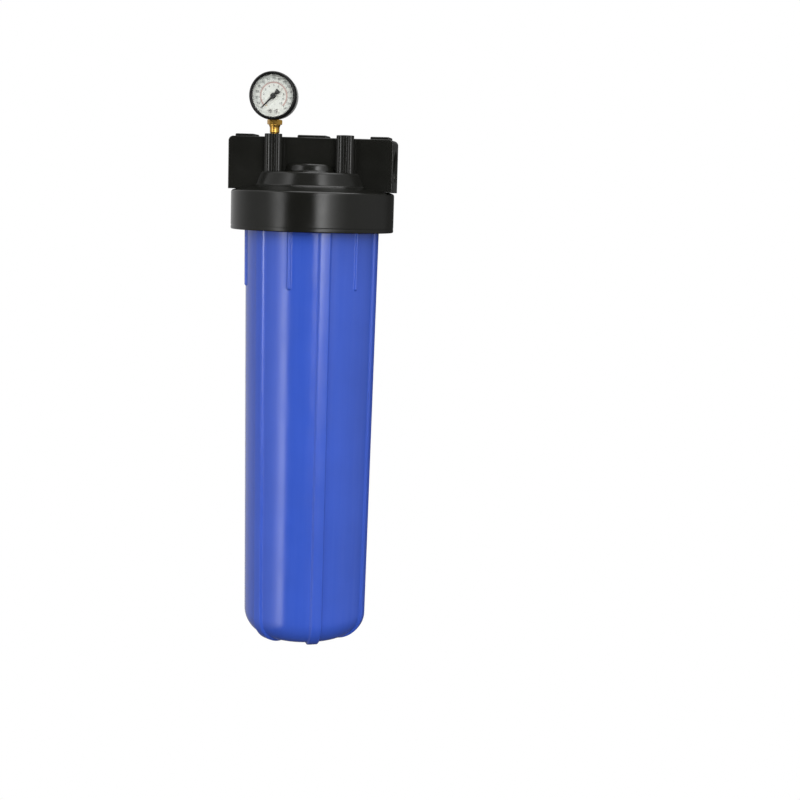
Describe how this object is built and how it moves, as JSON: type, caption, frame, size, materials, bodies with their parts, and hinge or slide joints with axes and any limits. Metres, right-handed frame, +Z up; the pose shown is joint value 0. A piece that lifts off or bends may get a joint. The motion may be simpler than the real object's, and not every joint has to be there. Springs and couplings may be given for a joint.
{
  "type": "bag filter housing",
  "caption": "Tall round filter housing: ribbed canister, screw-on head with side ports, pressure gauge on a top boss, slotted basket and felt bag inside.",
  "frame": {"origin": "on the floor, under the middle of the sump", "axes": "+Z up along the sump's axis, +X from the inlet port to the outlet port, -Y towards the front, where the gauge faces"},
  "size_m": [0.188, 0.186, 0.6533],
  "materials": {
    "blue_sump": "satin moulded polypropylene, royal blue",
    "black_head": "satin moulded polypropylene, black",
    "white_basket": "satin moulded polypropylene, slightly lilac white",
    "bag_felt": "needle felt, off-white",
    "rubber": "matt black nitrile rubber",
    "brass": "turned brass",
    "case_steel": "grey painted steel case",
    "pivot_steel": "plain steel",
    "bezel": "black painted steel ring",
    "window": "clear acrylic",
    "dial": null,
    "needle_black": "black painted aluminium"
  },
  "bodies": {
    "sump": {"sump_body": "blue_sump"},
    "o_ring": {"main_o_ring": "rubber"},
    "head": {"head_cap": "black_head", "gauge_stem": "brass", "gauge_case": "case_steel", "gauge_bezel": "bezel", "gauge_lens": "window", "gauge_dial": "dial", "dial_screw_left": "brass", "dial_screw_right": "brass", "needle_stop_pin": "brass", "movement_front_plate": "brass", "movement_rear_plate": "brass", "sector_pivot": "pivot_steel", "bourdon_tube": "brass", "tip_link": "pivot_steel", "hairspring": "brass", "vent_plug": "rubber", "case_screw_left": "pivot_steel", "case_screw_right": "pivot_steel"},
    "sector": {"sector_gear": "brass"},
    "needle": {"gauge_needle": "needle_black", "pinion_shaft": "brass"},
    "basket": {"bag_basket": "white_basket"},
    "bag": {"filter_bag": "bag_felt", "bag_snap_ring": "white_basket", "bag_gasket": "rubber"}
  },
  "joints": [
    {"name": "head_turn", "type": "hinge", "parent": "sump", "child": "o_ring", "pos_m": [0, 0, 0.4784], "axis": [0, 0, 1], "range_deg": [0, 1170]},
    {"name": "head_lift", "type": "slide", "parent": "o_ring", "child": "head", "axis": [0, 0, 1], "range_m": [0, 1.44]},
    {"name": "basket_lift", "type": "slide", "parent": "sump", "child": "basket", "axis": [0, 0, 1], "range_m": [0, 0.48]},
    {"name": "bag_lift", "type": "slide", "parent": "basket", "child": "bag", "axis": [0, 0, 1], "range_m": [0, 0.48]},
    {"name": "sector_turn", "type": "hinge", "parent": "head", "child": "sector", "pos_m": [-0.0331, -0.024, 0.6185], "axis": [0, -1, 0], "range_deg": [0, 45], "stiffness_Nm_per_rad": 0.01, "springref_deg": -2.86},
    {"name": "needle_turn", "type": "hinge", "parent": "head", "child": "needle", "pos_m": [-0.0407, -0.024, 0.6267], "axis": [0, 1, 0], "range_deg": [0, 270]}
  ],
  "couplings": [
    {"joint": "basket_lift", "follows": "head_lift", "ratio": 0.33333},
    {"joint": "bag_lift", "follows": "head_lift", "ratio": 0.33333},
    {"joint": "needle_turn", "follows": "sector_turn", "ratio": 6}
  ]
}
